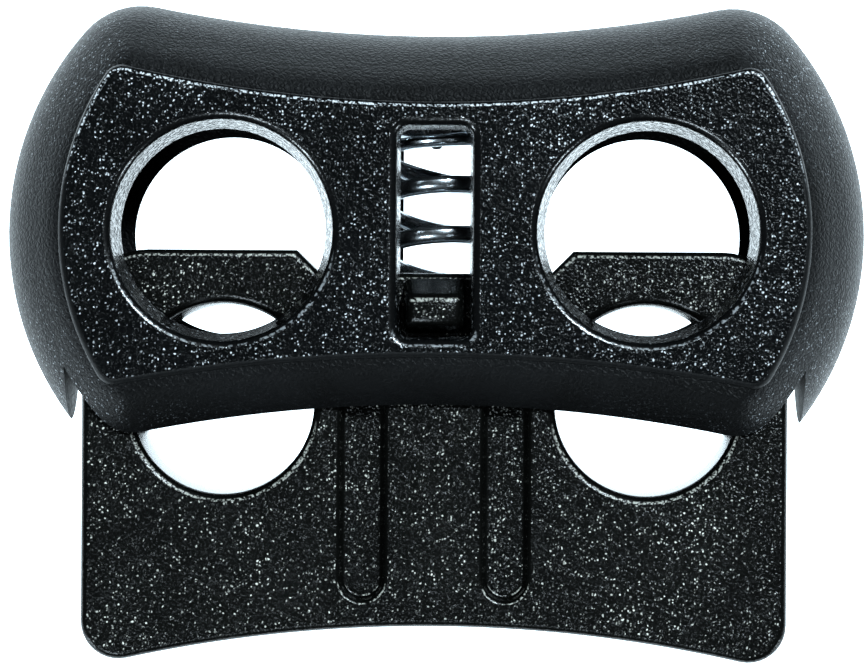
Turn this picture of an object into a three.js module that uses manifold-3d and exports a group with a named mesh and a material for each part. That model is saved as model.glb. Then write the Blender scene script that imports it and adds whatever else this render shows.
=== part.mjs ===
// Flat two-hole spring cord lock, lying on its back face. Millimetres, +Z up, +Y towards the closed edge.
import * as THREE from 'three';
import { mergeVertices } from 'three/addons/utils/BufferGeometryUtils.js';
import Module from 'manifold-3d';

const wasm = await Module();
wasm.setup();

// Everything below is measured from the line through the two cord holes of the housing (y = 0).
const THICK = 7.0;              // over both raised panels
const MID = THICK / 2;
const RIM = 2.05;               // how far the rim swells past the flat
const BULLNOSE = 3.8;           // radius of the rim's round, about the mid-plane
// Outlines: half width and radius of the side arcs, centre height and radius of the top and bottom arcs, corner.
const FLAT = { half: 10.45, side: 6.91, top: 3.75, topR: 44, bottom: -3.75, bottomR: 44, corner: 0.15 };
const PANEL = { half: 10.65, side: 8.1, top: 3.7, topR: 40, bottom: -3.62, bottomR: 50, corner: 0.55 };

const SLOT = { half: 10.65, z0: 1.1, z1: 5.9, roof: 3.75, corner: 2.1 };
const MOUTH = { half: 12, y: -5.3 };            // blunts the thin ends of the side walls
const HOLE = { x: 6.08, neck: 2.94, face: 3.16 };
const WINDOW = { half: 1.0, y0: -3.0, y1: 2.93, corner: 0.25, flare: 0.15 };
const RIB = { x: 2.06, width: 0.95, height: 0.42, y0: -4.3, y1: 3.9 };
const PIN = { base: 1.1, tip: 0.12, end: 2.5 };

const PLATE = { half: 10.15, z0: 1.25, z1: 5.75, wing: -0.52, step: 0.65, stepX: 3.33 };
const FOOT = { centre: -11.33, corner: -12.35, r: 1.1 };
const WING_R = 1.9;
const EDGE = 0.25;
const OBROUND = { x: 6.08, r: 2.58, y0: -4.93, y1: -4.67 };
const GROOVE = { x: 2.06, width: 1.27, depth: 0.4, y0: -10.58 };
const BORE = { r: 1.95, floor: -4.2 };
const LUG = { y0: -2.96, y1: -1.2, half: 0.93, top: 6.72, topHalf: 0.63, topY0: -2.62, topY1: -1.88 };

const WIRE = 0.5;
const COIL = { mean: 3.2, turns: 4.37, closed: 0.53, gap: 0.03, start: -0.24, lean: 0.068, tilt: 0.16 };
const TAU = Math.PI * 2;

// ---- helpers

function solid(geometry) {
  const g = geometry.clone();
  g.deleteAttribute('normal');
  g.deleteAttribute('uv');
  const merged = mergeVertices(g, 1e-5);
  const mesh = new wasm.Mesh({
    numProp: 3,
    vertProperties: new Float32Array(merged.attributes.position.array),
    triVerts: new Uint32Array(merged.index.array),
  });
  return new wasm.Manifold(mesh);
}

function geometry(manifold) {
  const mesh = manifold.getMesh();
  const g = new THREE.BufferGeometry();
  g.setAttribute('position', new THREE.BufferAttribute(new Float32Array(mesh.vertProperties), 3));
  g.setIndex(new THREE.BufferAttribute(new Uint32Array(mesh.triVerts), 1));
  g.computeVertexNormals();
  return g;
}

function arc(cx, cy, r, from, to, count) {
  return Array.from({ length: count + 1 }, (_, i) => {
    const a = from + ((to - from) * i) / count;
    return new THREE.Vector2(cx + r * Math.cos(a), cy + r * Math.sin(a));
  });
}

// Where two circles cross, on the right of the line from the first centre to the second.
function crossing(a, ra, b, rb) {
  const d = b.clone().sub(a);
  const span = d.length();
  const along = (ra * ra - rb * rb + span * span) / (2 * span);
  const off = Math.sqrt(ra * ra - along * along);
  d.normalize();
  return new THREE.Vector2(a.x + d.x * along + d.y * off, a.y + d.y * along - d.x * off);
}

// Bow-tie outline: bulging side arcs, hollow top and bottom arcs and rounded corners.
function bowtie({ half, side, top, topR, bottom, bottomR, corner }) {
  const s = new THREE.Vector2(half - side, 0);
  const up = new THREE.Vector2(0, top + topR);
  const down = new THREE.Vector2(0, bottom - bottomR);
  const c1 = crossing(s, side - corner, up, topR + corner);
  const mirrored = crossing(s, side - corner, new THREE.Vector2(0, -down.y), bottomR + corner);
  const c2 = new THREE.Vector2(mirrored.x, -mirrored.y);
  const a1 = Math.atan2(c1.y, c1.x - s.x);
  const a2 = Math.atan2(c2.y, c2.x - s.x);
  const b1 = Math.atan2(up.y - c1.y, -c1.x);
  const b2 = Math.atan2(down.y - c2.y, -c2.x);
  const right = [
    ...arc(down.x, down.y, bottomR, Math.PI / 2, Math.PI + b2, 5),
    ...arc(c2.x, c2.y, corner, b2, a2, 5),
    ...arc(s.x, 0, side, a2, a1, 12),
    ...arc(c1.x, c1.y, corner, a1, b1, 5),
    ...arc(up.x, up.y, topR, b1 - Math.PI, -Math.PI / 2, 5),
  ];
  return closed([...right, ...right.map((p) => new THREE.Vector2(-p.x, p.y)).reverse()]);
}

function closed(points) {
  const kept = points.filter((p, i) => p.distanceTo(points[(i + 1) % points.length]) > 1e-4);
  return new THREE.Shape(kept);
}

function extrude(shape, z0, z1, options = {}) {
  const g = new THREE.ExtrudeGeometry(shape, { depth: z1 - z0, steps: 1, bevelEnabled: false, ...options });
  g.translate(0, 0, z0);
  return g;
}

function rounded(x0, y0, x1, y1, r, count = 4) {
  const q = Math.PI / 2;
  return closed([
    ...arc(x1 - r, y0 + r, r, -q, 0, count),
    ...arc(x1 - r, y1 - r, r, 0, q, count),
    ...arc(x0 + r, y1 - r, r, q, 2 * q, count),
    ...arc(x0 + r, y0 + r, r, 2 * q, 3 * q, count),
  ]);
}

function box(x0, y0, z0, x1, y1, z1) {
  const g = new THREE.BoxGeometry(x1 - x0, y1 - y0, z1 - z0);
  g.translate((x0 + x1) / 2, (y0 + y1) / 2, (z0 + z1) / 2);
  return g;
}

const both = (make) => make(1).add(make(-1));

// ---- housing

// The rim's section is an arc of BULLNOSE about the mid-plane: each level of the bevel is moved onto it.
function pillow() {
  const bevel = { bevelEnabled: true, bevelThickness: MID, bevelSize: RIM, bevelSegments: 9 };
  const g = extrude(bowtie(FLAT), MID - 1e-3, MID + 1e-3, bevel);
  const p = g.attributes.position;
  for (let i = 0; i < p.count; i += 1) {
    const h = p.getZ(i) - MID;
    const inset = RIM * (1 - Math.sqrt(Math.max(0, 1 - (h / MID) ** 2)));
    p.setZ(i, MID + Math.sign(h) * Math.sqrt(BULLNOSE ** 2 - (BULLNOSE - inset) ** 2));
  }
  return solid(g);
}

function slot() {
  const { half, roof, corner, z0, z1 } = SLOT;
  const outline = closed([
    new THREE.Vector2(half, -9),
    ...arc(half - corner, roof - corner, corner, 0, Math.PI / 2, 6),
    ...arc(corner - half, roof - corner, corner, Math.PI / 2, Math.PI, 6),
    new THREE.Vector2(-half, -9),
  ]);
  const mouth = box(-MOUTH.half, -9, z0, MOUTH.half, MOUTH.y, z1);
  return solid(extrude(outline, z0, z1)).add(solid(mouth));
}

function cordHole(side) {
  const slope = (HOLE.face - HOLE.neck) / SLOT.z0;
  const wide = HOLE.face + slope;
  const { z0, z1 } = SLOT;
  const profile = [[0, -1], [wide, -1], [HOLE.neck, z0], [HOLE.neck, z1], [wide, THICK + 1], [0, THICK + 1]];
  const g = new THREE.LatheGeometry(profile.map(([r, z]) => new THREE.Vector2(r, z)), 56);
  g.rotateX(Math.PI / 2);
  g.translate(side * HOLE.x, 0, 0);
  return solid(g);
}

function windowCut() {
  const { half, y0, y1, corner, flare } = WINDOW;
  const past = 0.4;
  const f = (flare * (SLOT.z0 + past)) / SLOT.z0;
  const mouth = rounded(-half - f, y0 - f, half + f, y1 + f, corner + f);
  const bevel = { bevelEnabled: true, bevelThickness: SLOT.z0 + past, bevelSize: -f, bevelSegments: 1 };
  return solid(extrude(mouth, SLOT.z0, SLOT.z1, bevel));
}

function rib(side, face) {
  const { x, width, height, y0, y1 } = RIB;
  const w = width / 2;
  const outline = rounded(side * x - w, y0, side * x + w, y1, w - 0.01, 5);
  const z = face > 0 ? [SLOT.z1 - height, SLOT.z1 + 0.3] : [SLOT.z0 - 0.3, SLOT.z0 + height];
  return solid(extrude(outline, z[0], z[1]));
}

function locatingPin() {
  const { base, tip, end } = PIN;
  const g = new THREE.CylinderGeometry(base, tip, SLOT.roof + 0.5 - end, 28);
  g.translate(0, (SLOT.roof + 0.5 + end) / 2, MID);
  return solid(g);
}

function housing() {
  const panels = solid(extrude(bowtie(PANEL), 0, THICK));
  const hollow = slot().add(both(cordHole)).add(windowCut());
  const ribs = both((side) => rib(side, 1).add(rib(side, -1)));
  return pillow().add(panels).subtract(hollow).add(ribs).add(locatingPin());
}

// ---- plunger

function footArc() {
  const { half } = PLATE;
  const { centre, corner, r } = FOOT;
  const drop = centre - corner;
  const x = half - r;
  const big = (x * x + drop * drop) / (2 * drop);
  const c = new THREE.Vector2(0, centre - big);
  const k = crossing(new THREE.Vector2(half - r, -100), 100 + corner + r, c, big + r);
  const cy = Math.sqrt((big + r) ** 2 - x * x) + c.y;
  const a = Math.atan2(c.y - cy, -x);
  return { c, big, k, cy, a };
}

function plateOutline() {
  const { half, wing, step, stepX } = PLATE;
  const { c, big, cy, a } = footArc();
  const { r } = FOOT;
  const right = [
    ...arc(0, c.y, big, Math.PI / 2, Math.PI + a, 6),
    ...arc(half - r, cy, r, a, 0, 6),
    ...arc(half - WING_R, wing - WING_R, WING_R, 0, Math.PI / 2, 6),
    new THREE.Vector2(stepX + step, wing),
    new THREE.Vector2(stepX, wing - step),
  ];
  return closed([...right, ...right.map((p) => new THREE.Vector2(-p.x, p.y)).reverse()]);
}

function obround(side) {
  const { x, r, y0, y1 } = OBROUND;
  return new THREE.Path([
    ...arc(side * x, y1, r, 0, Math.PI, 24),
    ...arc(side * x, y0, r, Math.PI, TAU, 24),
  ]);
}

function plate() {
  const shape = plateOutline();
  shape.holes.push(obround(1), obround(-1));
  const round = {
    bevelEnabled: true, bevelThickness: EDGE, bevelSize: EDGE, bevelOffset: -EDGE, bevelSegments: 3,
  };
  return solid(extrude(shape, PLATE.z0 + EDGE, PLATE.z1 - EDGE, round));
}

function groove(side, face) {
  const { x, width, depth, y0 } = GROOVE;
  const w = width / 2;
  const outline = rounded(side * x - w, y0, side * x + w, 1, w - 0.01, 6);
  const z = face > 0 ? [PLATE.z1 - depth, PLATE.z1 + 1] : [PLATE.z0 - 1, PLATE.z0 + depth];
  return solid(extrude(outline, z[0], z[1]));
}

function bore() {
  const g = new THREE.CylinderGeometry(BORE.r, BORE.r, 1 - BORE.floor, 40);
  g.translate(0, (1 + BORE.floor) / 2, MID);
  return solid(g);
}

// A catch lug: seen from the side, a long lead-in ramp above, a flat top and a steep stop face below.
function lug(face) {
  const { y0, y1, half, top, topHalf, topY0, topY1 } = LUG;
  const foot = PLATE.z1 - 0.2;
  const g = new THREE.BoxGeometry(2 * half, 1, top - foot);
  g.translate(0, 0, (top + foot) / 2);
  const p = g.attributes.position;
  for (let i = 0; i < p.count; i += 1) {
    const high = p.getZ(i) > foot + 0.1;
    const upper = p.getY(i) > 0;
    p.setX(i, Math.sign(p.getX(i)) * (high ? topHalf : half));
    p.setY(i, high ? (upper ? topY1 : topY0) : upper ? y1 : y0);
  }
  if (face < 0) {
    g.rotateY(Math.PI);
    g.translate(0, 0, THICK);
  }
  return solid(g);
}

function plunger() {
  const grooves = both((side) => groove(side, 1).add(groove(side, -1)));
  return plate().subtract(grooves).subtract(bore()).add(both(lug));
}

// ---- spring

class Coil extends THREE.Curve {
  constructor() {
    super();
    this.top = SLOT.roof - WIRE / 2 - COIL.gap;
    this.bottom = BORE.floor + WIRE / 2 + COIL.gap;
    this.total = COIL.turns + 2;
    this.pitch = (this.top - this.bottom - 2 * COIL.closed) / COIL.turns;
  }

  getPoint(t, target = new THREE.Vector3()) {
    const n = t * this.total;
    const active = Math.min(Math.max(n - 1, 0), COIL.turns);
    const ends = n - active;
    const y = this.top - active * this.pitch - ends * COIL.closed;
    const a = TAU * (n + COIL.start);
    const x = (-COIL.mean / 2) * Math.sin(a);
    const fade = Math.min(1, active / 0.7, (COIL.turns - active) / 0.7);
    const z = (COIL.mean / 2) * Math.cos(a);
    return target.set(x, y + (COIL.tilt * z - COIL.lean * x) * fade, MID + z);
  }
}

function spring() {
  const ring = new THREE.Shape(arc(0, 0, WIRE / 2, 0, TAU, 9).slice(0, -1));
  const path = new Coil();
  const steps = Math.round(path.total * 22);
  const g = new THREE.ExtrudeGeometry(ring, { steps, bevelEnabled: false, extrudePath: path });
  return solid(g);
}

// ---- assembly

const made = { housing: geometry(housing()), plunger: geometry(plunger()), spring: geometry(spring()) };
const looks = {
  housing: { color: 0x18191b, roughness: 0.6, metalness: 0 },
  plunger: { color: 0x121315, roughness: 0.5, metalness: 0 },
  spring: { color: 0xaeb2b6, roughness: 0.3, metalness: 1 },
};
const bounds = new THREE.Box3();
for (const g of Object.values(made)) {
  g.computeBoundingBox();
  bounds.union(g.boundingBox);
}
const middle = bounds.getCenter(new THREE.Vector3());

// The origin goes under the middle of the whole lock, on the plane it lies on.
const group = new THREE.Group();
for (const [name, g] of Object.entries(made)) {
  const mesh = new THREE.Mesh(g, new THREE.MeshStandardMaterial(looks[name]));
  mesh.name = name;
  mesh.position.set(-middle.x, -middle.y, -bounds.min.z);
  group.add(mesh);
}

export default group;
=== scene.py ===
"""The looks of a flat two-hole spring cord lock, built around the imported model.

Sizes are in millimetres, measured from the line through the housing's two cord holes and from the middle of its
thickness. `Workshop.place` turns them into the frame's metres once a piece is finished.
"""

from __future__ import annotations

import logging
import math
from dataclasses import dataclass
from enum import Enum
from typing import Callable, Sequence

import bmesh
import bpy
from mathutils import Matrix, Vector


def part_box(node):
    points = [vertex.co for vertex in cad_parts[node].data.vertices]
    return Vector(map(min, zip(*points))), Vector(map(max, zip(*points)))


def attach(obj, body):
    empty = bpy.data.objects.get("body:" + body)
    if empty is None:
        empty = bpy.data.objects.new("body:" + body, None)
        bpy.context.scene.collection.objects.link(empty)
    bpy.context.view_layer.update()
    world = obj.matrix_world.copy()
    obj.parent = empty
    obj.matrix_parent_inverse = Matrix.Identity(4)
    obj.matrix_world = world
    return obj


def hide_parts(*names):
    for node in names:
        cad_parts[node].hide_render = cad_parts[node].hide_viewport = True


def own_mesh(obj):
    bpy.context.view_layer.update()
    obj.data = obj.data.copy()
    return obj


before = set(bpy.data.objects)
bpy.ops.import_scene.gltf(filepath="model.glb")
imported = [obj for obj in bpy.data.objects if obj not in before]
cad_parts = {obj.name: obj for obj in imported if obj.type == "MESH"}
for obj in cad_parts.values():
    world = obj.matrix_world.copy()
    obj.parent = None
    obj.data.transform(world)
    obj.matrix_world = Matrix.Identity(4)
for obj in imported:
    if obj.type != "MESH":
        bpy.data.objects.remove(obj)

LOG = logging.getLogger("cord_lock")
MM = 0.001          # one millimetre in the frame's metres
WELD = 1e-4         # millimetres within which drawn points are one
APART = 1e-7        # the same, for mirrored halves that must stay two solids
PROUD = 0.004       # millimetres that a tool's rounded mouth stands off the face, so that no two faces coincide
QUARTER = math.pi / 2
Path = Sequence[tuple[float, float]]
Mesh, Face, Vert = bmesh.types.BMesh, bmesh.types.BMFace, bmesh.types.BMVert
Piece, Material, Node, Socket = bpy.types.Object, bpy.types.Material, bpy.types.Node, bpy.types.NodeSocket
Colour = tuple[float, float, float, float]
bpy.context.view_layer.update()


class Joinery(Enum):
    """How a tool solid is worked into a piece."""

    CUT = "DIFFERENCE"
    FUSE = "UNION"


class Skin(Enum):
    """The material slots of a moulded piece, in slot order."""

    RIM = 0
    PANEL = 1
    WALL = 2


# ---------------------------------------------------------------- drawing and solids


def swing(bm: Mesh, start: Vert, centre: Sequence[float], turn: float, steps: int) -> Vert:
    """Draws an arc by spinning its first point.

    Args:
        bm: The drawing.
        start: The arc's first point.
        centre: The arc's centre, x and y.
        turn: How far it turns, in radians, anticlockwise seen from the front.
        steps: How many straight edges stand for the arc.

    Returns:
        The arc's last point.
    """
    made = bmesh.ops.spin(bm, geom=[start], cent=(*centre, start.co.z), axis=(0, 0, 1), angle=turn, steps=steps,
                          use_duplicate=False)
    return next(item for item in made["geom_last"] if isinstance(item, Vert))


def rule(bm: Mesh, start: Vert, to: Sequence[float]) -> Vert:
    """Draws a straight edge.

    Args:
        bm: The drawing.
        start: The edge's first point.
        to: Where the edge ends, x and y.

    Returns:
        The edge's last point.
    """
    made = bmesh.ops.extrude_vert_indiv(bm, verts=[start])
    end = made["verts"][0]
    bmesh.ops.translate(bm, verts=[end], vec=(to[0] - end.co.x, to[1] - end.co.y, 0))
    return end


def mirror(bm: Mesh, axis: str, merge: float = WELD) -> None:
    """Adds the mirror image of everything drawn so far and merges what meets on the mirror plane.

    Args:
        bm: The mesh or drawing.
        axis: The axis that changes sign.
        merge: How close two points must be to become one, in millimetres.
    """
    bmesh.ops.mirror(bm, geom=bm.verts[:] + bm.edges[:] + bm.faces[:], matrix=Matrix.Identity(4), merge_dist=merge,
                     axis=axis)


def fill(bm: Mesh) -> Face:
    """Closes the drawn outline with one face.

    Args:
        bm: The drawing.

    Returns:
        The face, which looks towards +Z.
    """
    bmesh.ops.remove_doubles(bm, verts=bm.verts, dist=WELD)
    face = bmesh.ops.edgeloop_fill(bm, edges=bm.edges[:])["faces"][0]
    face.normal_update()
    if face.normal.z < 0:
        face.normal_flip()
    return face


def cap(bm: Mesh, edges: list | None = None) -> None:
    """Closes each open end of a mesh with one face.

    Args:
        bm: The mesh.
        edges: The open edges to close, or None for all of them.
    """
    edges = [edge for edge in bm.edges if edge.is_boundary] if edges is None else edges
    if edges:
        bmesh.ops.edgeloop_fill(bm, edges=edges)


def soften(bm: Mesh, edges: list, radius: float, segments: int) -> None:
    """Rounds some edges of a mesh.

    Args:
        bm: The mesh.
        edges: The edges to round.
        radius: The round's radius.
        segments: How many flats stand for it.
    """
    bmesh.ops.bevel(bm, geom=edges, offset=radius, offset_type="OFFSET", affect="EDGES", segments=segments,
                    profile=0.5, material=-1, clamp_overlap=True)


def follow(bm: Mesh, face: Face, path: Path) -> Face:
    """Grows walls from a face by insetting it and moving it from level to level.

    Args:
        bm: The mesh.
        face: The outline's face, at the first level of the path.
        path: Each level's total inset from the outline, and its height.

    Returns:
        The face, now at the last level.
    """
    for (inset, level), (next_inset, next_level) in zip(path, path[1:]):
        bmesh.ops.inset_region(bm, faces=[face], thickness=max(0.0, next_inset - inset), depth=0.0,
                               use_even_offset=True, use_boundary=True)
        bmesh.ops.translate(bm, verts=face.verts[:], vec=(0, 0, next_level - level))
    return face


def round_over(inset: float, level: float, radius: float, steps: int = 5, outward: bool = True
               ) -> list[tuple[float, float]]:
    """Lists the levels of a rounded edge.

    Args:
        inset: Inset where the round starts, on the wall.
        level: Height of the flat that the round runs into.
        radius: The round's radius.
        steps: How many flats stand for it.
        outward: True from the wall up to the flat, False from a flat down into a hole.

    Returns:
        Inset and height of each level.
    """
    angles = [QUARTER * i / steps for i in range(steps + 1)]
    if outward:
        return [(inset + radius * (1 - math.cos(a)), level - radius * (1 - math.sin(a))) for a in angles]
    return [(inset + radius * math.sin(a), level - radius * (1 - math.cos(a))) for a in angles]


@dataclass(frozen=True)
class Outline:
    """A bow-tie outline: bulging sides, hollow top and bottom, and rounded corners.

    `half` is half its width, `side` the radius of its sides, `top` and `bottom` are heights on the middle line, and
    each arc is drawn with the number of edges that ends in `_steps`.
    """

    half: float
    side: float
    top: float
    top_radius: float
    bottom: float
    bottom_radius: float
    corner: float
    hollow_steps: int = 16
    corner_steps: int = 8
    side_steps: int = 32

    def corner_centre(self, centre: float, radius: float) -> Vector:
        """Finds where a corner's arc is centred.

        Args:
            centre: Height of the hollow arc's centre on the middle line.
            radius: The hollow arc's radius.

        Returns:
            The centre of the right-hand corner.
        """
        side = Vector((self.half - self.side, 0.0))
        reach, far = self.side - self.corner, radius + self.corner
        to = Vector((0.0, centre)) - side
        along = (reach**2 - far**2 + to.length_squared) / (2 * to.length)
        off = math.sqrt(reach**2 - along**2)
        way = to.normalized()
        across = Vector((way.y, -way.x)) if centre > 0 else Vector((-way.y, way.x))
        return side + way * along + across * off

    def draw(self, bm: Mesh, level: float) -> Face:
        """Draws the outline.

        Args:
            bm: The empty drawing.
            level: The outline's level.

        Returns:
            Its face.
        """
        side = Vector((self.half - self.side, 0.0))
        low, high = self.bottom - self.bottom_radius, self.top + self.top_radius
        foot, peak = self.corner_centre(low, self.bottom_radius), self.corner_centre(high, self.top_radius)
        lean = math.atan2(foot.y - low, foot.x)
        start, stop = (math.atan2(c.y, c.x - side.x) for c in (foot, peak))
        rise = math.atan2(high - peak.y, -peak.x)
        point = bm.verts.new((0, self.bottom, level))
        point = swing(bm, point, (0, low), lean - QUARTER, self.hollow_steps)
        point = swing(bm, point, foot, start - lean + math.pi, self.corner_steps)
        point = swing(bm, point, (side.x, 0), stop - start, self.side_steps)
        point = swing(bm, point, peak, rise - stop, self.corner_steps)
        swing(bm, point, (0, high), QUARTER - rise, self.hollow_steps)
        mirror(bm, "X")
        return fill(bm)


def capsule(bm: Mesh, x: float, low: float, high: float, radius: float, level: float, steps: int = 24) -> Face:
    """Draws an upright slot with round ends, or a circle where both ends are at one height.

    Args:
        bm: The drawing.
        x: Where its middle line stands.
        low: Height of the lower round's centre.
        high: Height of the upper round's centre.
        radius: The rounds' radius.
        level: The outline's level.
        steps: Edges in each round.

    Returns:
        Its face.
    """
    straight = high - low > WELD
    point = bm.verts.new((x + radius, high, level))
    point = swing(bm, point, (x, high), math.pi, steps)
    point = rule(bm, point, (x - radius, low)) if straight else point
    point = swing(bm, point, (x, low), math.pi, steps)
    if straight:
        rule(bm, point, (x + radius, high))
    return fill(bm)


def rounded_box(bm: Mesh, low: Sequence[float], high: Sequence[float], corner: float, level: float,
                steps: int = 6) -> Face:
    """Draws a rectangle with rounded corners.

    Args:
        bm: The drawing.
        low: Its lower left corner.
        high: Its upper right corner.
        corner: The corners' radius.
        level: The outline's level.
        steps: Edges in each corner.

    Returns:
        Its face.
    """
    (x0, y0), (x1, y1) = low, high
    left, right, bottom, top = x0 + corner, x1 - corner, y0 + corner, y1 - corner
    point = bm.verts.new((right, y0, level))
    for centre, end in (((right, bottom), (x1, top)), ((right, top), (left, y1)),
                        ((left, top), (x0, bottom)), ((left, bottom), (right, y0))):
        point = rule(bm, swing(bm, point, centre, QUARTER, steps), end)
    return fill(bm)


def cone(bm: Mesh, low: float, length: float, first: float, last: float, segments: int) -> None:
    """Adds a closed cone or cylinder that stands along +Y.

    Args:
        bm: The mesh.
        low: Height of its lower end.
        length: How long it is.
        first: Its radius at the lower end.
        last: Its radius at the upper end.
        segments: Flats around it.
    """
    upright = Matrix.Translation((0, low + length / 2, 0)) @ Matrix.Rotation(-QUARTER, 4, "X")
    bmesh.ops.create_cone(bm, cap_ends=True, segments=segments, radius1=first, radius2=last, depth=length,
                          matrix=upright)


class Workshop:
    """Turns drawings into solids, works solids into each other and places the finished piece."""

    SOLID_WELD = 1e-5       # millimetres within which the points of a new solid are one
    PIECE_WELD = 2e-4       # the same for a finished piece, whose cuts leave slivers
    FACE_WEIGHT = 90        # how much large faces lead the shading of the rounded edges between them

    def __init__(self, materials: Sequence[Material]) -> None:
        """Keeps the materials that every solid of the piece shares."""
        self.materials = list(materials)

    def solid(self, bm: Mesh, name: str, skin: Skin = Skin.RIM) -> Piece:
        """Makes an object of a closed mesh, all in one skin.

        Args:
            bm: The mesh, freed afterwards.
            name: The object's name.
            skin: The material slot that its faces take.

        Returns:
            The object.
        """
        bmesh.ops.remove_doubles(bm, verts=bm.verts, dist=self.SOLID_WELD)
        bmesh.ops.recalc_face_normals(bm, faces=bm.faces)
        for face in bm.faces:
            face.material_index = skin.value
            face.smooth = True
        mesh = bpy.data.meshes.new(name)
        bm.to_mesh(mesh)
        bm.free()
        for material in self.materials:
            mesh.materials.append(material)
        made = bpy.data.objects.new(name, mesh)
        bpy.context.scene.collection.objects.link(made)
        return made

    def prism(self, name: str, draw: Callable[[Mesh], Face], path: Path,
              skin: Skin = Skin.RIM, mirrored: bool = True) -> Piece:
        """Grows a solid from a drawn outline.

        Args:
            name: The solid's name.
            draw: Draws the outline in an empty mesh and returns its face.
            path: The levels that the outline's face moves through.
            skin: The material slot that its faces take.
            mirrored: True where the path starts or ends on the mid-plane and the other half is its mirror image.

        Returns:
            The solid.
        """
        bm = bmesh.new()
        last = follow(bm, draw(bm), path)
        if mirrored and path[-1][1] == 0.0:
            bmesh.ops.delete(bm, geom=[last], context="FACES_ONLY")
        if mirrored:
            cap(bm, [edge for edge in bm.edges if edge.is_boundary and abs(edge.verts[0].co.z) > WELD])
            mirror(bm, "Z")
        else:
            cap(bm)
        return self.solid(bm, name, skin)

    def work(self, piece: Piece, tool: Piece, how: Joinery) -> None:
        """Works a tool solid into a piece and removes the tool.

        Args:
            piece: The piece, changed in place.
            tool: The other solid.
            how: Whether it is cut out or fused on.
        """
        boolean = piece.modifiers.new(how.name, "BOOLEAN")
        boolean.operation, boolean.solver, boolean.object = how.value, "EXACT", tool
        graph = bpy.context.evaluated_depsgraph_get()
        graph.update()
        made = bpy.data.meshes.new_from_object(piece.evaluated_get(graph), depsgraph=graph)
        piece.modifiers.remove(boolean)
        old, piece.data = piece.data, made
        bpy.data.meshes.remove(old)
        bpy.data.meshes.remove(tool.data)

    def place(self, piece: Piece, hole_line: float, middle: float, crease: float = 24.0) -> None:
        """Cleans a finished piece, moves it to its place in the frame and sets its shading.

        Args:
            piece: The piece, in millimetres.
            hole_line: Height of the line of cord holes in the frame, along +Y, in metres.
            middle: Level of the middle of the thickness in the frame, in metres.
            crease: The angle, in degrees, past which an edge is shaded sharp.
        """
        bm = bmesh.new()
        bm.from_mesh(piece.data)
        bmesh.ops.remove_doubles(bm, verts=bm.verts, dist=self.PIECE_WELD)
        bmesh.ops.dissolve_degenerate(bm, edges=bm.edges, dist=self.PIECE_WELD)
        bmesh.ops.scale(bm, verts=bm.verts, vec=(MM, MM, MM))
        bmesh.ops.translate(bm, verts=bm.verts, vec=(0, hole_line, middle))
        for face in bm.faces:
            face.smooth = True
        for edge in bm.edges:
            edge.smooth = edge.calc_face_angle(0.0) < math.radians(crease)
        bm.to_mesh(piece.data)
        bm.free()
        weighted = piece.modifiers.new("even_shading", "WEIGHTED_NORMAL")
        weighted.weight, weighted.keep_sharp = self.FACE_WEIGHT, True


# ---------------------------------------------------------------- finishes


class Bench:
    """Places and links the nodes of one tree."""

    MIX_INPUTS = (0, 6, 7)      # where a Mix node keeps its factor and its two colours
    MIX_RESULT = 2              # where it gives the mixed colour

    def __init__(self, tree: bpy.types.NodeTree) -> None:
        """Keeps the tree that nodes go in."""
        self.tree = tree

    def node(self, kind: str, **settings: object) -> Node:
        """Adds a node and sets the named properties, and its inputs by name where it has no such property.

        Args:
            kind: The node's type, without its ShaderNode prefix.
            settings: Properties, or inputs with spaces written as underscores. A socket is linked.

        Returns:
            The node.
        """
        made = self.tree.nodes.new(kind if kind.startswith("NodeGroup") else f"ShaderNode{kind}")
        for name, value in settings.items():
            if hasattr(made, name) and name not in ("inputs", "outputs"):
                setattr(made, name, value)
            else:
                self.feed(made, name.replace("_", " "), value)
        return made

    def feed(self, node: Node, name: str | int, value: object) -> None:
        """Sets one input of a node, or links a socket to it.

        Args:
            node: The node.
            name: The input's name or number.
            value: A number, vector or colour to set, or the socket to link.
        """
        socket = node.inputs[name]
        if isinstance(value, Socket):
            self.tree.links.new(value, socket)
        else:
            socket.default_value = value

    def math(self, operation: str, first: object, second: object = 0.0, third: object = 0.0) -> Socket:
        """Adds a Math node.

        Args:
            operation: What it works out.
            first: A number or a socket, as are the other two.
            second: Its second value, where it takes one.
            third: Its third value, where it takes one.

        Returns:
            Its result.
        """
        made = self.tree.nodes.new("ShaderNodeMath")
        made.operation = operation
        for index, value in enumerate((first, second, third)):
            if index < len(made.inputs):
                self.feed(made, index, value)
        return made.outputs[0]

    def ramp(self, value: object, low: float, high: float, to_low: float = 0.0, to_high: float = 1.0) -> Socket:
        """Maps a value from one range onto another, with soft ends.

        Args:
            value: A number or a socket.
            low: Where the first range starts, which may be its larger end.
            high: Where it ends.
            to_low: What the start becomes.
            to_high: What the end becomes.

        Returns:
            The result.
        """
        made = self.node("MapRange", interpolation_type="SMOOTHSTEP")
        for name, number in zip(("Value", "From Min", "From Max", "To Min", "To Max"),
                                (value, low, high, to_low, to_high)):
            self.feed(made, name, number)
        return made.outputs[0]

    def blend(self, amount: object, first: object, second: object) -> Socket:
        """Mixes two colours.

        Args:
            amount: How much of the second one there is, from 0 to 1.
            first: A colour or a socket.
            second: Another.

        Returns:
            The mixed colour.
        """
        made = self.tree.nodes.new("ShaderNodeMix")
        made.data_type = "RGBA"
        for index, value in zip(self.MIX_INPUTS, (amount, first, second)):
            self.feed(made, index, value)
        return made.outputs[self.MIX_RESULT]

    def group(self, tree: bpy.types.NodeTree, **inputs: object) -> Node:
        """Places a node group.

        Args:
            tree: The group's tree.
            inputs: What its inputs are set to or linked to, by name.

        Returns:
            The group's node.
        """
        made = self.tree.nodes.new("ShaderNodeGroup")
        made.node_tree = tree
        for name, value in inputs.items():
            self.feed(made, name.replace("_", " "), value)
        return made


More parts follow.
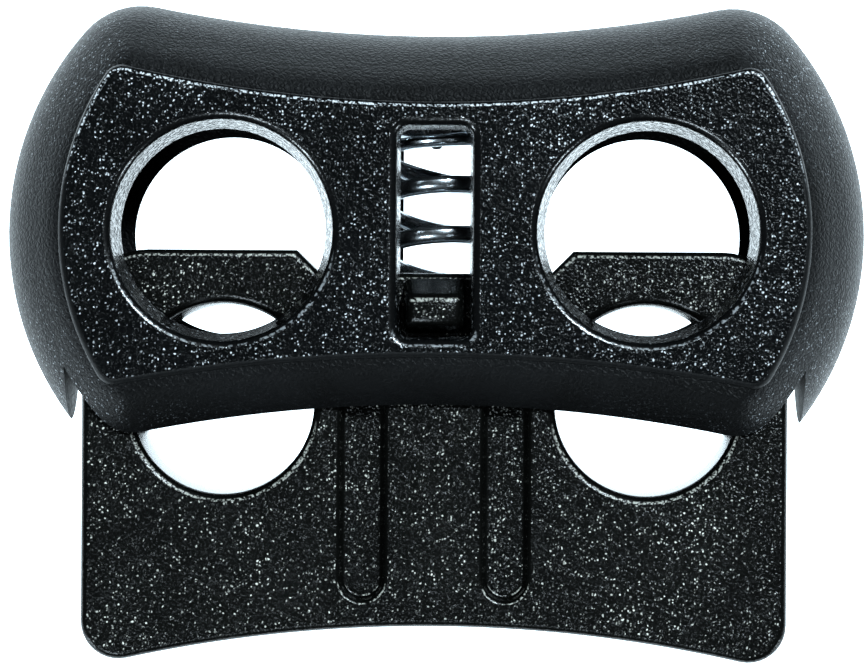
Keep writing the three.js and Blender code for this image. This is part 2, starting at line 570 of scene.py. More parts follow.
def open_group(name: str, inputs: dict[str, str]) -> tuple[Bench, Node]:
    """Starts a node group.

    Args:
        name: The group's name.
        inputs: Each input's name and kind, Float or Vector.

    Returns:
        A bench on its tree, and the node that gives its inputs.
    """
    tree = bpy.data.node_groups.new(name, "ShaderNodeTree")
    for title, kind in inputs.items():
        tree.interface.new_socket(name=title, in_out="INPUT", socket_type=f"NodeSocket{kind}")
    return Bench(tree), tree.nodes.new("NodeGroupInput")


def close_group(bench: Bench, **outputs: Socket) -> bpy.types.NodeTree:
    """Finishes a node group.

    Args:
        bench: The bench on its tree.
        outputs: The socket that each number output gives, by name.

    Returns:
        The group's tree.
    """
    for name in outputs:
        bench.tree.interface.new_socket(name=name, in_out="OUTPUT", socket_type="NodeSocketFloat")
    result = bench.tree.nodes.new("NodeGroupOutput")
    for name, value in outputs.items():
        bench.feed(result, name, value)
    return bench.tree


def spark_grain_group() -> bpy.types.NodeTree:
    """Builds the coarse grain that a spark-eroded mould leaves: pits, and painted glints, bright dots for the colour
    that stand in for facets catching the light.

    Returns:
        A group from coordinates in metres, a grain size in millimetres and a share of facets with a painted glint to
        Height, the painted glints' mask and Mottle.
    """
    bench, source = open_group("spark_grain", {"Vector": "Vector", "Size": "Float", "Density": "Float"})
    # The scales are patterns per grain size; the shares are how much one pattern shifts another.
    lump_scale, swirl_scale, facet_scale, drift_scale = 1.1, 0.9, 1.32, 0.05
    bend, lump_share, drift_share, raggedness, pit_depth = 0.9, 0.55, 0.5, 0.7, 0.55
    fully_dark, lit_per_density, lit_span = 1.55, 0.6, 0.42
    spot_edge, spot_core = 0.46, 0.12
    metre = bench.math("DIVIDE", 1.0 / MM, source.outputs["Size"])
    at = bench.node("VectorMath", operation="SCALE", Vector=source.outputs["Vector"], Scale=metre).outputs[0]
    lumps = bench.node("TexNoise", Vector=at, Scale=lump_scale, Detail=2.0, Roughness=0.6).outputs[0]
    swirl = bench.node("TexNoise", Vector=at, Scale=swirl_scale, Detail=1.0).outputs[1]
    bent = bench.node("VectorMath", operation="MULTIPLY_ADD")
    for index, value in enumerate((swirl, (bend, bend, bend), at)):
        bench.feed(bent, index, value)
    facets = bench.node("TexVoronoi", feature="F1", Vector=bent.outputs[0], Scale=facet_scale)
    drift = bench.node("TexNoise", Vector=at, Scale=drift_scale, Detail=3.0).outputs[0]
    # Which grains get a painted glint: a bright dot in the colour where light would catch a facet.
    chance = bench.node("SeparateXYZ", Vector=facets.outputs["Color"]).outputs[0]
    lean = bench.math("MULTIPLY_ADD", lumps, lump_share, bench.math("MULTIPLY_ADD", drift, drift_share, chance))
    start = bench.math("MULTIPLY_ADD", source.outputs["Density"], -lit_per_density, fully_dark)
    lit = bench.ramp(lean, start, bench.math("ADD", start, lit_span))
    shift = bench.math("SUBTRACT", lumps, 0.5)
    ragged = bench.math("MULTIPLY_ADD", shift, raggedness, facets.outputs["Distance"])
    spot = bench.ramp(ragged, spot_edge, spot_core)
    height = bench.math("MULTIPLY_ADD", facets.outputs["Distance"], -pit_depth, lumps)
    return close_group(bench, Height=height, Glint=bench.math("MULTIPLY", lit, spot), Mottle=drift)


def satin_grain_group() -> bpy.types.NodeTree:
    """Builds the fine leather-like grain of the rounded rim.

    Returns:
        A group from coordinates in metres and a grain size in millimetres to Height and Tone.
    """
    bench, source = open_group("satin_grain", {"Vector": "Vector", "Size": "Float"})
    grain_scale, crease_scale, tone_scale = 0.7, 0.55, 0.03
    crease_width, crease_depth = 0.25, 0.35
    metre = bench.math("DIVIDE", 1.0 / MM, source.outputs["Size"])
    at = bench.node("VectorMath", operation="SCALE", Vector=source.outputs["Vector"], Scale=metre).outputs[0]
    grain = bench.node("TexNoise", Vector=at, Scale=grain_scale, Detail=3.0, Roughness=0.6).outputs[0]
    creases = bench.node("TexVoronoi", feature="DISTANCE_TO_EDGE", Vector=at, Scale=crease_scale).outputs["Distance"]
    height = bench.math("MULTIPLY_ADD", bench.ramp(creases, 0.0, crease_width), crease_depth, grain)
    tone = bench.node("TexNoise", Vector=at, Scale=tone_scale, Detail=3.0).outputs[0]
    return close_group(bench, Height=height, Tone=tone)


def facing_group() -> bpy.types.NodeTree:
    """Builds the masks of which way a moulded face looks, so that its rounded edges can differ from its flats.

    Returns:
        A group from a surface normal in the piece's own axes to Flat (level), Wall (upright), Edge (rounded edges
        that look sideways or towards the thumb), the highlight-edge mask (rounded edges that lean a little towards
        +Y, where the key lamp hangs, and take a painted highlight) and the diagonal-turn mask (whatever turns
        diagonally, where the rim takes painted glints).
    """
    bench, source = open_group("mould_faces", {"Normal": "Vector"})
    # Each pair is the part of the normal at which a mask is still 0 and already 1.
    level, upright, steep = (0.972, 0.994), (0.5, 0.3), (0.75, 0.85)
    turned_away, highlight_edge_start, highlight_edge_end, diagonal = (0.2, 0.03), (0.08, 0.18), (0.5, 0.34), (0.0, 0.42)
    parts = bench.node("SeparateXYZ", Vector=source.outputs["Normal"])
    ahead = parts.outputs["Y"]
    up = bench.math("ABSOLUTE", parts.outputs["Z"])
    flat, wall = bench.ramp(up, *level), bench.ramp(up, *upright)
    between = bench.math("SUBTRACT", 1.0, bench.math("MAXIMUM", flat, wall))
    edge = bench.math("MULTIPLY", between, bench.ramp(ahead, *turned_away))
    # Rounded edges leaning towards the key lamp at +Y, where a painted highlight is put.
    highlight_edge = bench.math("MULTIPLY", bench.ramp(ahead, *highlight_edge_start), bench.ramp(ahead, *highlight_edge_end))
    highlight_edge = bench.math("MULTIPLY", highlight_edge, bench.ramp(up, *steep))
    # Diagonal turns, where painted glints are put on the rim.
    slant = bench.math("ABSOLUTE", bench.math("MULTIPLY", parts.outputs["X"], ahead))
    corner = bench.ramp(slant, *diagonal)
    return close_group(bench, Flat=flat, Wall=wall, Edge=edge, Crest=highlight_edge, Corner=corner)


class Grains:
    """The node groups that the finishes share, built once."""

    def __init__(self) -> None:
        """Builds each group."""
        self.spark = spark_grain_group()
        self.satin = satin_grain_group()
        self.faces = facing_group()


def blank_material(name: str) -> tuple[Material, Bench, Node]:
    """Makes a material that holds only a Principled shader.

    Args:
        name: The material's name.

    Returns:
        The material, a bench on its tree, and the shader node.
    """
    made = bpy.data.materials.new(name)
    made.use_nodes = True
    shader = made.node_tree.nodes["Principled BSDF"]
    return made, Bench(made.node_tree), shader


@dataclass(frozen=True)
class SparkFinish:
    """Black plastic with the coarse grain of a spark-eroded mould, with painted glints in its colour that stand in
    for grain facets catching the light.

    Sizes are in millimetres. `density` is the share of grains that get a painted glint, the flat, wall and edge
    strengths are how bright the painted glints and the painted edge highlight are on one kind of face, and each
    relief is how strongly the grain shows on it.
    """

    name: str
    dark: Colour = (0.0012, 0.0014, 0.0016, 1.0)
    # Colour of the painted glints and the painted edge highlight.
    painted_glint: Colour = (0.84, 0.88, 0.92, 1.0)
    size: float = 0.105
    density: float = 0.58
    painted_flat_glint: float = 1.0
    painted_wall_glint: float = 0.15
    painted_edge_highlight: float = 0.4
    roughness: float = 0.22
    specular: float = 0.13
    relief: float = 0.85
    smooth_relief: float = 0.3
    wall_relief: float = 0.85
    relief_depth: float = 0.027
    coat: float = 0.0
    bare_coat: float = 0.05
    coat_roughness: float = 0.2
    edge_dulling: float = 0.0
    # Grain heights that break the painted edge highlight into dots.
    raised: tuple[float, float] = (0.12, 0.4)
    coated: tuple[float, float] = (0.15, 0.4)
    mottle: tuple[float, float, float, float] = (0.3, 0.7, 0.75, 1.25)

    def material(self, grains: Grains) -> Material:
        """Builds the material.

        Args:
            grains: The shared node groups.

        Returns:
            The material.
        """
        made, bench, shader = blank_material(self.name)
        places = bench.node("TexCoord")
        grain = bench.group(grains.spark, Vector=places.outputs["Object"], Size=self.size, Density=self.density)
        faces = bench.group(grains.faces, Normal=places.outputs["Normal"])
        # Painted glints: bright grain dots put into the base colour on flats and walls, and a painted highlight
        # along rounded edges that lean towards the key lamp.
        keep = bench.math("MAXIMUM", bench.math("MULTIPLY", faces.outputs["Flat"], self.painted_flat_glint),
                          bench.math("MULTIPLY", faces.outputs["Wall"], self.painted_wall_glint))
        painted_glint = bench.math("MULTIPLY", grain.outputs["Glint"], keep)
        highlight_edge = bench.math("MULTIPLY", faces.outputs["Crest"], bench.ramp(grain.outputs["Height"], *self.raised))
        painted_glint = bench.math("MAXIMUM", painted_glint, bench.math("MULTIPLY", highlight_edge, self.painted_edge_highlight))
        tone = bench.ramp(grain.outputs["Mottle"], *self.mottle)
        dark = bench.node("VectorMath", operation="SCALE", Scale=tone)
        dark.inputs[0].default_value = self.dark[:3]
        bench.feed(shader, "Base Color", bench.blend(painted_glint, dark.outputs[0], self.painted_glint))
        dulled = bench.math("MULTIPLY_ADD", faces.outputs["Edge"], self.edge_dulling, self.roughness)
        bench.feed(shader, "Roughness", dulled)
        strength = bench.ramp(faces.outputs["Flat"], 0.0, 1.0, self.smooth_relief, self.relief)
        strength = bench.math("MAXIMUM", strength, bench.math("MULTIPLY", faces.outputs["Wall"], self.wall_relief))
        bump = bench.node("Bump", Height=grain.outputs["Height"], Strength=strength, Distance=self.relief_depth * MM)
        bench.feed(shader, "Normal", bump.outputs[0])
        shader.inputs["Specular IOR Level"].default_value = self.specular
        if self.coat > 0:
            shader.inputs["Coat Roughness"].default_value = self.coat_roughness
            gloss = bench.ramp(grain.outputs["Height"], *self.coated, self.bare_coat, self.coat)
            bench.feed(shader, "Coat Weight", bench.math("MULTIPLY", gloss, faces.outputs["Wall"]))
        return made


@dataclass(frozen=True)
class SatinFinish:
    """Black plastic with the fine satin grain of the rounded rim, and painted glints in its colour where its corners
    turn diagonally, standing in for light caught there.
    """

    name: str
    dark: Colour = (0.0010, 0.0011, 0.0012, 1.0)
    light: Colour = (0.0026, 0.0028, 0.0031, 1.0)
    # Colour of the painted glints on the corners.
    painted_glint: Colour = (0.42, 0.45, 0.48, 1.0)
    size: float = 0.085
    painted_glint_density: float = 0.7
    mottle: tuple[float, float] = (0.35, 0.65)
    worn: tuple[float, float, float, float] = (0.4, 0.9, 0.55, 0.42)
    specular: float = 0.08
    relief: float = 1.0
    relief_depth: float = 0.026

    def material(self, grains: Grains) -> Material:
        """Builds the material.

        Args:
            grains: The shared node groups.

        Returns:
            The material.
        """
        made, bench, shader = blank_material(self.name)
        places = bench.node("TexCoord")
        grain = bench.group(grains.satin, Vector=places.outputs["Object"], Size=self.size)
        tone = bench.ramp(grain.outputs["Tone"], *self.mottle)
        sparks = bench.group(grains.spark, Vector=places.outputs["Object"], Size=self.size,
                             Density=self.painted_glint_density)
        faces = bench.group(grains.faces, Normal=places.outputs["Normal"])
        # Painted glints: bright dots put in the colour where the rim turns diagonally, for light caught there.
        painted_glint = bench.math("MULTIPLY", sparks.outputs["Glint"], faces.outputs["Corner"])
        plain = bench.blend(tone, self.dark, self.light)
        bench.feed(shader, "Base Color", bench.blend(painted_glint, plain, self.painted_glint))
        bench.feed(shader, "Roughness", bench.ramp(grain.outputs["Height"], *self.worn))
        bump = bench.node("Bump", Height=grain.outputs["Height"], Strength=self.relief,
                          Distance=self.relief_depth * MM)
        bench.feed(shader, "Normal", bump.outputs[0])
        shader.inputs["Specular IOR Level"].default_value = self.specular
        return made


@dataclass(frozen=True)
class WireFinish:
    """Bright drawn spring wire with a faint, patchy tarnish."""

    name: str
    bright: Colour = (0.50, 0.54, 0.57, 1.0)
    dull: Colour = (0.32, 0.35, 0.38, 1.0)
    size: float = 0.05
    patches: float = 900.0
    tarnished: tuple[float, float] = (0.35, 0.75)
    worn: tuple[float, float, float, float] = (0.3, 0.9, 0.2, 0.26)
    relief: float = 0.02
    relief_depth: float = 0.001

    def material(self, grains: Grains) -> Material:
        """Builds the material.

        Args:
            grains: The shared node groups.

        Returns:
            The material.
        """
        made, bench, shader = blank_material(self.name)
        places = bench.node("TexCoord")
        grain = bench.group(grains.satin, Vector=places.outputs["Object"], Size=self.size)
        patchy = bench.node("TexNoise", Vector=places.outputs["Object"], Scale=self.patches, Detail=3.0).outputs[0]
        tarnish = bench.ramp(patchy, *self.tarnished)
        bench.feed(shader, "Base Color", bench.blend(tarnish, self.bright, self.dull))
        bench.feed(shader, "Roughness", bench.ramp(grain.outputs["Height"], *self.worn))
        bump = bench.node("Bump", Height=grain.outputs["Height"], Strength=self.relief,
                          Distance=self.relief_depth * MM)
        bench.feed(shader, "Normal", bump.outputs[0])
        shader.inputs["Metallic"].default_value = 1.0
        return made


# ---------------------------------------------------------------- pieces


@dataclass
class Housing:
    """The one-piece sleeve: bullnosed rim, raised panels, slot, cord holes, window, guide ribs and locating pin.

    Heights run along +Y from the hole line and levels along +Z from the mid-plane. A `_half` is half a width, a
    `_round` is the radius of a softened edge, and `rim_inset` and `shoulder` are measured inwards from the rim's
    outline.
    """

    shop: Workshop
    rim: Outline = Outline(12.5, 8.96, 5.8, 41.95, -5.8, 41.95, 2.2)
    panel: Outline = Outline(10.75, 8.1, 3.73, 40.0, -3.62, 50.0, 0.6)
    half_thick: float = 3.5
    bullnose: float = 3.8
    rim_inset: float = 2.05
    panel_round: float = 0.22
    shoulder: float = 0.854
    slot_half: float = 10.65
    slot_level: float = 2.4
    slot_roof: float = 3.75
    slot_corner: float = 2.1
    hole_x: float = 6.08
    hole_neck: float = 2.94
    hole_face: float = 3.15
    hole_round: float = 0.25
    window_half: float = 1.0
    window_low: float = -3.0
    window_high: float = 2.93
    window_corner: float = 0.25
    window_flare: float = 0.07
    window_round: float = 0.28
    rib_x: float = 2.06
    rib_half: float = 0.475
    rib_height: float = 0.42
    rib_low: float = -4.3
    pin_base: float = 1.1
    pin_tip: float = 0.12
    pin_end: float = 2.5
    pin_root: float = 0.5
    pin_round: float = 0.06
    overrun: float = 0.6
    rib_overrun: float = 0.3
    slot_end: float = -9.0
    bend_steps: int = 12
    slope_steps: int = 10
    arc_steps: int = 10
    hole_steps: int = 48
    round_steps: int = 6

    def body(self) -> Piece:
        """Makes the bullnosed body with its raised panels.

        Returns:
            The body.
        """
        turn = math.acos(1 - self.shoulder / self.bullnose)
        bends = [turn * i / self.bend_steps for i in range(self.bend_steps + 1)]
        path = [(self.bullnose * (1 - math.cos(a)), self.bullnose * math.sin(a)) for a in bends]
        # From the shoulder to the panel's foot the rim goes on at the same slope and flattens out.
        (inset, level), run = path[-1], self.rim_inset - self.shoulder
        rise = run / math.tan(turn)
        slope = [i / self.slope_steps for i in range(1, self.slope_steps + 1)]
        path += [(inset + run * t, level + rise * (t - t**3 / 3)) for t in slope]
        body = self.shop.prism("housing_look", lambda bm: self.rim.draw(bm, 0.0), path)
        raised = [(0.0, 0.0), *round_over(0.0, self.half_thick, self.panel_round)]
        pad = self.shop.prism("pad", lambda bm: self.panel.draw(bm, 0.0), raised, Skin.PANEL)
        self.shop.work(body, pad, Joinery.FUSE)
        return body

    def slot(self) -> Piece:
        """Makes the tool that cuts the plunger's slot, open at the lower edge.

        Returns:
            The tool.
        """
        def draw(bm: Mesh) -> Face:
            """Draws the slot's outline and returns its face."""
            half, roof, corner = self.slot_half, self.slot_roof, self.slot_corner
            point = bm.verts.new((0, self.slot_end, 0))
            point = rule(bm, point, (half, self.slot_end))
            point = rule(bm, point, (half, roof - corner))
            point = swing(bm, point, (half - corner, roof - corner), QUARTER, self.arc_steps)
            rule(bm, point, (0, roof))
            mirror(bm, "X")
            return fill(bm)
        return self.shop.prism("slot", draw, [(0.0, 0.0), (0.0, self.slot_level)])

    def mouth_path(self, flare: float, rounding: float) -> list[tuple[float, float]]:
        """Lists the levels of a hole that is rounded at the face and narrows to the slot.

        Args:
            flare: How much further in the hole's wall stands at the slot than under its rounded edge.
            rounding: The radius of that edge.

        Returns:
            Inset and height of each level, from above the face to the mid-plane.
        """
        edge = round_over(0.0, self.half_thick + PROUD, rounding, self.round_steps, outward=False)
        inner = rounding + flare
        return [(0.0, self.half_thick + self.overrun), *edge, (inner, self.slot_level), (inner, 0.0)]

    def cord_hole(self, side: int) -> Piece:
        """Makes the tool that cuts one cord hole through both walls.

        Args:
            side: 1 for the one on the right, -1 for the one on the left.

        Returns:
            The tool.
        """
        widest = self.hole_face + self.hole_round
        path = self.mouth_path(self.hole_face - self.hole_neck, self.hole_round)
        return self.shop.prism(
            "cord_hole", lambda bm: capsule(bm, side * self.hole_x, 0, 0, widest, path[0][1], self.hole_steps), path,
            Skin.WALL)

    def window(self) -> Piece:
        """Makes the tool that cuts the spring's window through both walls.

        Returns:
            The tool.
        """
        grow = self.window_flare + self.window_round
        low = (-self.window_half - grow, self.window_low - grow)
        high = (self.window_half + grow, self.window_high + grow)
        path = self.mouth_path(self.window_flare, self.window_round)
        return self.shop.prism(
            "window", lambda bm: rounded_box(bm, low, high, self.window_corner + grow, path[0][1]), path, Skin.WALL)

    def rib(self, side: int) -> Piece:
        """Makes the pair of guide ribs, front and back, that run in one pair of the plunger's grooves.

        Args:
            side: 1 for the one on the right, -1 for the one on the left.

        Returns:
            Both ribs, as one object.
        """
        root, level = self.slot_level + self.rib_overrun, self.slot_level - self.rib_height
        bm = bmesh.new()
        face = capsule(bm, side * self.rib_x, self.rib_low + self.rib_half, self.slot_roof, self.rib_half, root,
                       self.arc_steps)
        soft_edge = [(0.0, level + 0.08), (0.03, level + 0.02), (0.08, level)]
        follow(bm, face, [(0.0, root), *soft_edge])
        cap(bm)
        mirror(bm, "Z", APART)
        return self.shop.solid(bm, "rib")

    def pin(self) -> Piece:
        """Makes the tapered pin that centres the spring on the slot's roof.

        Returns:
            The pin.
        """
        length = self.slot_roof + self.pin_root - self.pin_end
        bm = bmesh.new()
        cone(bm, self.pin_end, length, self.pin_tip, self.pin_base, 40)
        tip = [e for e in bm.edges if all(v.co.y < self.pin_end + self.pin_round for v in e.verts)]
        soften(bm, tip, self.pin_round, 3)
        return self.shop.solid(bm, "pin")

    def build(self) -> Piece:
        """Cuts and fuses the whole housing.

        Returns:
            The housing, still in millimetres.
        """
        piece = self.body()
        self.shop.work(piece, self.slot(), Joinery.CUT)
        for side in (1, -1):
            self.shop.work(piece, self.cord_hole(side), Joinery.CUT)
        self.shop.work(piece, self.window(), Joinery.CUT)
        for side in (1, -1):
            self.shop.work(piece, self.rib(side), Joinery.FUSE)
        self.shop.work(piece, self.pin(), Joinery.FUSE)
        return piece


@dataclass
class Plunger:
    """The one-piece slider plate: cord holes, guide grooves, spring bore, catch lugs and waisted foot.

    Heights and levels are measured as in the housing, with the plunger at rest. `wing` is the height of the top edge
    beside the step that frames the spring's mouth.
    """

    shop: Workshop
    half: float = 10.15
    half_thick: float = 2.25
    wing: float = -0.52
    wing_corner: float = 1.9
    step: float = 0.65
    step_x: float = 3.33
    foot_centre: float = -11.33
    foot_corner: float = -12.35
    foot_round: float = 1.1
    edge: float = 0.22
    hole_x: float = 6.08
    hole: float = 2.58
    hole_low: float = -4.93
    hole_high: float = -4.67
    hole_round: float = 0.28
    hole_draft: float = 0.04
    groove_x: float = 2.06
    groove_half: float = 0.635
    groove_low: float = -10.58
    groove_depth: float = 0.4
    bore: float = 1.95
    bore_floor: float = -4.2
    lug_low: float = -2.96
    lug_high: float = -1.2
    lug_half: float = 0.92
    lug_top: float = 3.22
    lug_top_half: float = 0.78
    lug_top_low: float = -2.66
    lug_top_high: float = -1.84
    lug_round: float = 0.2
    lug_sunk: float = 0.25
    groove_round: float = 0.15
    groove_end: float = 1.5
    bore_end: float = 2.0
    overrun: float = 0.5
    corner_steps: int = 10
    foot_steps: int = 18
    hole_steps: int = 40

    def foot(self) -> tuple[float, float, float]:
        """Works out the waisted lower edge.

        Returns:
            The height of the hollow arc's centre, and how far out and how high the corner's arc is centred.
        """
        drop, reach = self.foot_centre - self.foot_corner, self.half - self.foot_round
        radius = (reach**2 + drop**2) / (2 * drop)
        low = self.foot_centre - radius
        return low, reach, low + math.sqrt((radius + self.foot_round) ** 2 - reach**2)

    def draw(self, bm: Mesh) -> Face:
        """Draws the plate's outline.

        Args:
            bm: The empty drawing.

        Returns:
            Its face.
        """
        low, reach, height = self.foot()
        lean = math.atan2(height - low, reach)
        point = bm.verts.new((0, self.foot_centre, 0))
        point = swing(bm, point, (0, low), lean - QUARTER, self.foot_steps)
        point = swing(bm, point, (reach, height), math.pi - lean, self.corner_steps)
        shoulder = Vector((self.half - self.wing_corner, self.wing - self.wing_corner))
        point = rule(bm, point, (self.half, shoulder.y))
        point = swing(bm, point, shoulder, QUARTER, self.corner_steps)
        point = rule(bm, point, (self.step_x + self.step, self.wing))
        point = rule(bm, point, (self.step_x, self.wing - self.step))
        rule(bm, point, (0, self.wing - self.step))
        mirror(bm, "X")
        return fill(bm)

    def cord_hole(self, side: int) -> Piece:
        """Makes the tool that cuts one cord hole, rounded where the cord bends over its edges.

        Args:
            side: 1 for the one on the right, -1 for the one on the left.

        Returns:
            The tool.
        """
        grow = self.hole_round + self.hole_draft
        edge = round_over(0.0, self.half_thick + PROUD, self.hole_round, 7, outward=False)
        path = [(0.0, self.half_thick + self.overrun), *edge, (grow, 0.0)]
        return self.shop.prism(
            "plate_hole", lambda bm: capsule(bm, side * self.hole_x, self.hole_low, self.hole_high,
                                             self.hole + grow, path[0][1], self.hole_steps), path)

    def groove(self, side: int) -> Piece:
        """Makes the tool that cuts one pair of grooves, front and back.

        Args:
            side: 1 for the one on the right, -1 for the one on the left.

        Returns:
            The tool.
        """
        top, floor = self.half_thick + self.overrun, self.half_thick - self.groove_depth
        edge = round_over(0.0, self.half_thick + PROUD, self.groove_round, 4, outward=False)
        # The wall leans in a little and runs into the floor with a fillet, given as inset and height of each level.
        fillet = ((0.02, 0.16), (0.05, 0.08), (0.1, 0.025), (0.17, 0.0))
        walls = [(self.groove_round + inset, floor + height) for inset, height in fillet]
        bm = bmesh.new()
        face = capsule(bm, side * self.groove_x, self.groove_low + self.groove_half, self.groove_end,
                       self.groove_half + self.groove_round, top, 14)
        follow(bm, face, [(0.0, top), *edge, *walls])
        cap(bm)
        mirror(bm, "Z", APART)
        return self.shop.solid(bm, "groove")

    def spring_bore(self) -> Piece:
        """Makes the tool that bores the spring's pocket from the top edge.

        Returns:
            The tool.
        """
        length = self.bore_end - self.bore_floor
        bm = bmesh.new()
        cone(bm, self.bore_floor, length, self.bore, self.bore, 56)
        return self.shop.solid(bm, "bore")

    def lugs(self) -> Piece:
        """Makes the two catch lugs: a lead-in ramp above, a soft crown and a steep stop face below.

        Returns:
            Both lugs, as one object.
        """
        foot = self.half_thick - self.lug_sunk
        bm = bmesh.new()
        bmesh.ops.create_cube(bm, size=2.0)
        for vert in bm.verts:
            crown, upper = vert.co.z > 0, vert.co.y > 0
            x = math.copysign(self.lug_top_half if crown else self.lug_half, vert.co.x)
            heights = (self.lug_top_low, self.lug_top_high) if crown else (self.lug_low, self.lug_high)
            vert.co = (x, heights[upper], self.lug_top if crown else foot)
        crown = [e for e in bm.edges if any(v.co.z > foot + self.lug_sunk for v in e.verts)]
        soften(bm, crown, self.lug_round, 4)
        mirror(bm, "Z", APART)
        return self.shop.solid(bm, "lugs")

    def build(self) -> Piece:
        """Cuts and fuses the whole plunger.

        Returns:
            The plunger, still in millimetres.
        """
        path = [(0.0, 0.0), *round_over(0.0, self.half_thick, self.edge, 6)]
        piece = self.shop.prism("plunger_look", self.draw, path)
        for side in (1, -1):
            self.shop.work(piece, self.cord_hole(side), Joinery.CUT)
            self.shop.work(piece, self.groove(side), Joinery.CUT)
        self.shop.work(piece, self.spring_bore(), Joinery.CUT)
        self.shop.work(piece, self.lugs(), Joinery.FUSE)
        return piece


@dataclass
class Spring:
    """The compression spring: right-hand coils of round wire with a closed turn at each end.

    `wire` and `mean` are radii, `closed` is the pitch of the end turns, `start` is where the first turn starts in
    turns, and `lean` and `tilt` are how far the free coils slant across and along the thickness.
    """

    shop: Workshop
    wire: float = 0.25
    mean: float = 1.6
    roof: float = 3.75
    floor: float = -4.2
    gap: float = 0.03
    turns: float = 4.37
    closed: float = 0.53
    lean: float = 0.068
    tilt: float = 0.16
    start: float = -0.24
    fade: float = 0.7
    end_round: float = 0.03
    sides: int = 16
    per_turn: int = 40

    def build(self) -> Piece:
        """Winds the wire by spinning its round section down the coil.

        Returns:
            The spring, still in millimetres.
        """
        top, bottom = self.roof - self.wire - self.gap, self.floor + self.wire + self.gap
        pitch = (top - bottom - 2 * self.closed) / self.turns
        bm = bmesh.new()
        angle = self.start * 2 * math.pi
        at = Vector((-self.mean * math.sin(angle), top, self.mean * math.cos(angle)))
        turn = Matrix.Rotation(QUARTER - angle, 4, "Y")
        bmesh.ops.create_circle(bm, cap_ends=False, segments=self.sides, radius=self.wire,
                                matrix=Matrix.Translation(at) @ turn)
        geom = bm.verts[:] + bm.edges[:]
        ends = [geom[:]]
        for turns, drop in ((1.0, self.closed), (self.turns, pitch), (1.0, self.closed)):
            steps = round(turns * self.per_turn)
            made = bmesh.ops.spin(bm, geom=geom, cent=(0, 0, 0), axis=(0, 1, 0), dvec=(0, -drop * turns / steps, 0),
                                  angle=-2 * math.pi * turns, steps=steps, use_duplicate=False)
            geom = made["geom_last"]
        ends.append(geom)
        for end in ends:
            cap(bm, [e for e in end if isinstance(e, bmesh.types.BMEdge)])
        for vert in bm.verts:
            sunk = (top - self.closed - vert.co.y, vert.co.y - bottom - self.closed)
            free = max(0.0, min(1.0, *(depth / (self.fade * pitch) for depth in sunk)))
            vert.co.y += (self.tilt * vert.co.z - self.lean * vert.co.x) * free
        caps = [e for e in bm.edges if len(e.link_faces) == 2 and any(len(f.verts) > 4 for f in e.link_faces)]
        soften(bm, caps, self.end_round, 2)
        return self.shop.solid(bm, "spring_look")


# ---------------------------------------------------------------- studio


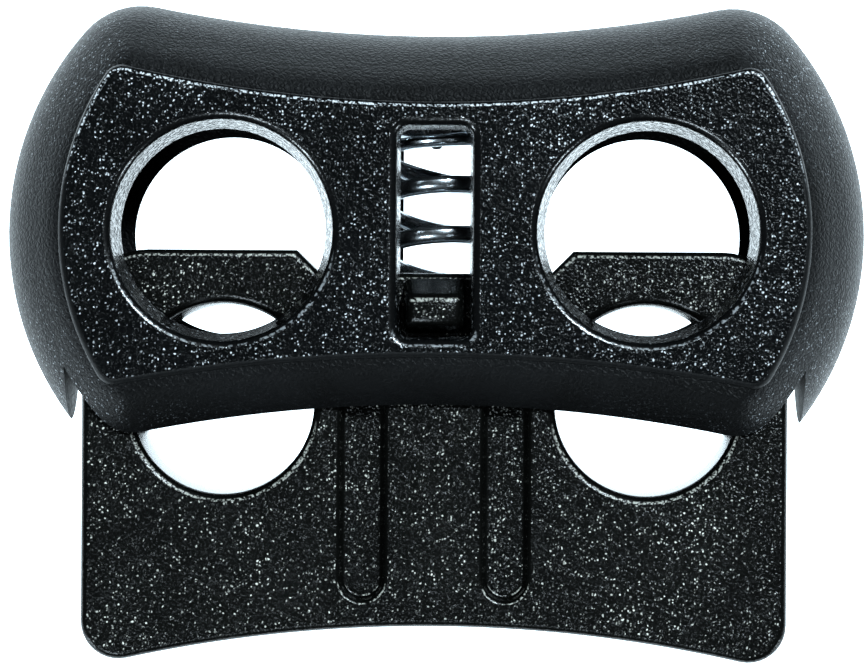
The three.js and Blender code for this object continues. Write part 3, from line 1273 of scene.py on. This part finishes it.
@dataclass
class Studio:
    """A light table under the lock, soft lamps above it and the camera square-on to the front face.

    Sizes are in millimetres from the lock's origin, and `gap` keeps the table off the face that lies on it.
    """

    distance: float = 115.0
    view_width: float = 24.6
    stand: tuple[float, float] = (1.45, -0.75)
    aim: tuple[float, float] = (-0.03, -0.08)
    roll: float = 0.35
    front: float = 7.0
    table: float = 2.8
    gap: float = 0.05
    reach: float = 600.0
    sensor: float = 36.0
    clip: tuple[float, float] = (0.005, 10.0)
    room: float = 0.03
    backdrop: float = 0.92
    tint: tuple[float, float, float] = (0.78, 0.92, 1.0)
    opal: Colour = (0.9, 0.9, 0.9, 1.0)
    opal_roughness: float = 0.6
    sky: Colour = (0.97, 0.985, 1.0, 1.0)

    def camera(self) -> None:
        """Places the camera and makes it the scene's."""
        data = bpy.data.cameras.new("camera")
        data.sensor_width = self.sensor
        data.lens = data.sensor_width * self.distance / self.view_width
        data.clip_start, data.clip_end = self.clip
        made = bpy.data.objects.new("camera", data)
        eye = Vector((*self.stand, self.front + self.distance)) * MM
        target = Vector((*self.aim, self.front)) * MM
        back = (eye - target).normalized()
        right = Vector((0, 1, 0)).cross(back).normalized()
        look = Matrix((right, back.cross(right), back)).transposed().to_4x4()
        made.matrix_world = Matrix.Translation(eye) @ look @ Matrix.Rotation(math.radians(self.roll), 4, "Z")
        bpy.context.scene.collection.objects.link(made)
        bpy.context.scene.camera = made

    def floor(self) -> None:
        """Lays the glowing white table top, which is clear when seen from below."""
        bm = bmesh.new()
        bmesh.ops.create_grid(bm, x_segments=1, y_segments=1, size=self.reach * MM)
        bmesh.ops.translate(bm, verts=bm.verts, vec=(0, 0, -self.gap * MM))
        mesh = bpy.data.meshes.new("light_table")
        bm.to_mesh(mesh)
        bm.free()
        made, bench, shader = blank_material("opal_glass")
        shader.inputs["Base Color"].default_value = self.opal
        shader.inputs["Roughness"].default_value = self.opal_roughness
        shader.inputs["Emission Color"].default_value = (*self.tint, 1.0)
        shader.inputs["Emission Strength"].default_value = self.table
        below = bench.node("NewGeometry").outputs["Backfacing"]
        bench.feed(shader, "Alpha", bench.math("SUBTRACT", 1.0, below))
        mesh.materials.append(made)
        table = bpy.data.objects.new("light_table", mesh)
        bpy.context.scene.collection.objects.link(table)

    def lamp(self, name: str, place: Sequence[float], size: float, power: float) -> None:
        """Hangs one square soft lamp that looks at the lock.

        Args:
            name: The lamp's name.
            place: Where it hangs, in millimetres.
            size: Its side, in millimetres.
            power: Its power, in watts.
        """
        data = bpy.data.lights.new(name, "AREA")
        data.shape, data.size, data.energy, data.color = "SQUARE", size * MM, power, self.tint
        made = bpy.data.objects.new(name, data)
        at = Vector(place) * MM
        made.matrix_world = Matrix.Translation(at) @ (-at).to_track_quat("-Z", "Y").to_matrix().to_4x4()
        bpy.context.scene.collection.objects.link(made)

    def world(self) -> None:
        """Paints the room: dim where it lights the lock, pale where it is seen."""
        world = bpy.data.worlds.new("room")
        bpy.context.scene.world = world
        world.use_nodes = True
        bench = Bench(world.node_tree)
        back = world.node_tree.nodes["Background"]
        seen = bench.node("LightPath").outputs["Is Camera Ray"]
        bench.feed(back, "Strength", bench.ramp(seen, 0.0, 1.0, self.room, self.backdrop))
        back.inputs["Color"].default_value = self.sky

    def build(self) -> None:
        """Sets up the whole studio."""
        self.camera()
        self.floor()
        self.world()
        self.lamp("key", (100, 140, 240), 50, 1.35)
        self.lamp("fill", (-60, -150, 220), 50, 0.3)
        self.lamp("left", (-170, -130, 70), 40, 0.28)
        self.lamp("right", (190, -130, 70), 40, 0.22)
        view = bpy.context.scene.view_settings
        view.view_transform, view.look = "Standard", "None"


# ---------------------------------------------------------------- assembly


class CordLock:
    """The whole lock: builds each piece, dresses it, and hands it to its body."""

    def __init__(self) -> None:
        """Makes the materials, sets up a workshop for each piece and finds where the lock sits in the frame."""
        grains = Grains()
        rim = SatinFinish("satin_black_rim").material(grains)
        # The panel takes a strong painted highlight along its rounded top edge; the walls take painted bright grains
        # on top of their coat reflection; the plunger's painted glints are warmer.
        panel = SparkFinish("spark_black_panel", painted_edge_highlight=0.75, edge_dulling=0.22).material(grains)
        wall = SparkFinish("polished_black_walls", painted_edge_highlight=0.25, specular=0.5, size=0.15, painted_flat_glint=0.0,
                           painted_wall_glint=0.4, density=1.1, smooth_relief=0.15, relief_depth=0.05,
                           coat=1.0).material(grains)
        plate = SparkFinish("spark_black_plunger", specular=0.2, wall_relief=0.1, density=0.53,
                            dark=(0.0014, 0.0015, 0.0013, 1.0), painted_glint=(0.86, 0.86, 0.78, 1.0)).material(grains)
        wire = WireFinish("drawn_wire").material(grains)
        self.housing = Housing(Workshop([rim, panel, wall]))
        self.plunger = Plunger(Workshop([plate]))
        self.spring = Spring(Workshop([wire]))
        low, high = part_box("plunger")
        lowest = self.plunger.foot()[2] - self.plunger.foot_round
        self.hole_line = float(low[1]) - lowest * MM
        self.middle = (float(low[2]) + float(high[2])) / 2

    def finish(self, maker: Housing | Plunger | Spring, node: str, body: str) -> Piece:
        """Builds a piece, places it and ties it to the frame.

        Args:
            maker: What builds the piece.
            node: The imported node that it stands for.
            body: The body that it moves with.

        Returns:
            The finished piece.
        """
        piece = maker.build()
        maker.shop.place(piece, self.hole_line, self.middle)
        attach(piece, body)
        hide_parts(node)
        LOG.info("%s: %d faces", piece.name, len(piece.data.polygons))
        return piece

    def build(self) -> None:
        """Builds every piece, and gives the spring a mesh of its own."""
        self.finish(self.housing, "housing", "housing")
        self.finish(self.plunger, "plunger", "plunger")
        coil = self.finish(self.spring, "spring", "housing")
        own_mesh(coil)


def main() -> None:
    logging.basicConfig(level=logging.INFO, format="%(name)s: %(message)s")
    Studio().build()
    CordLock().build()


if __name__ == "__main__":
    main()
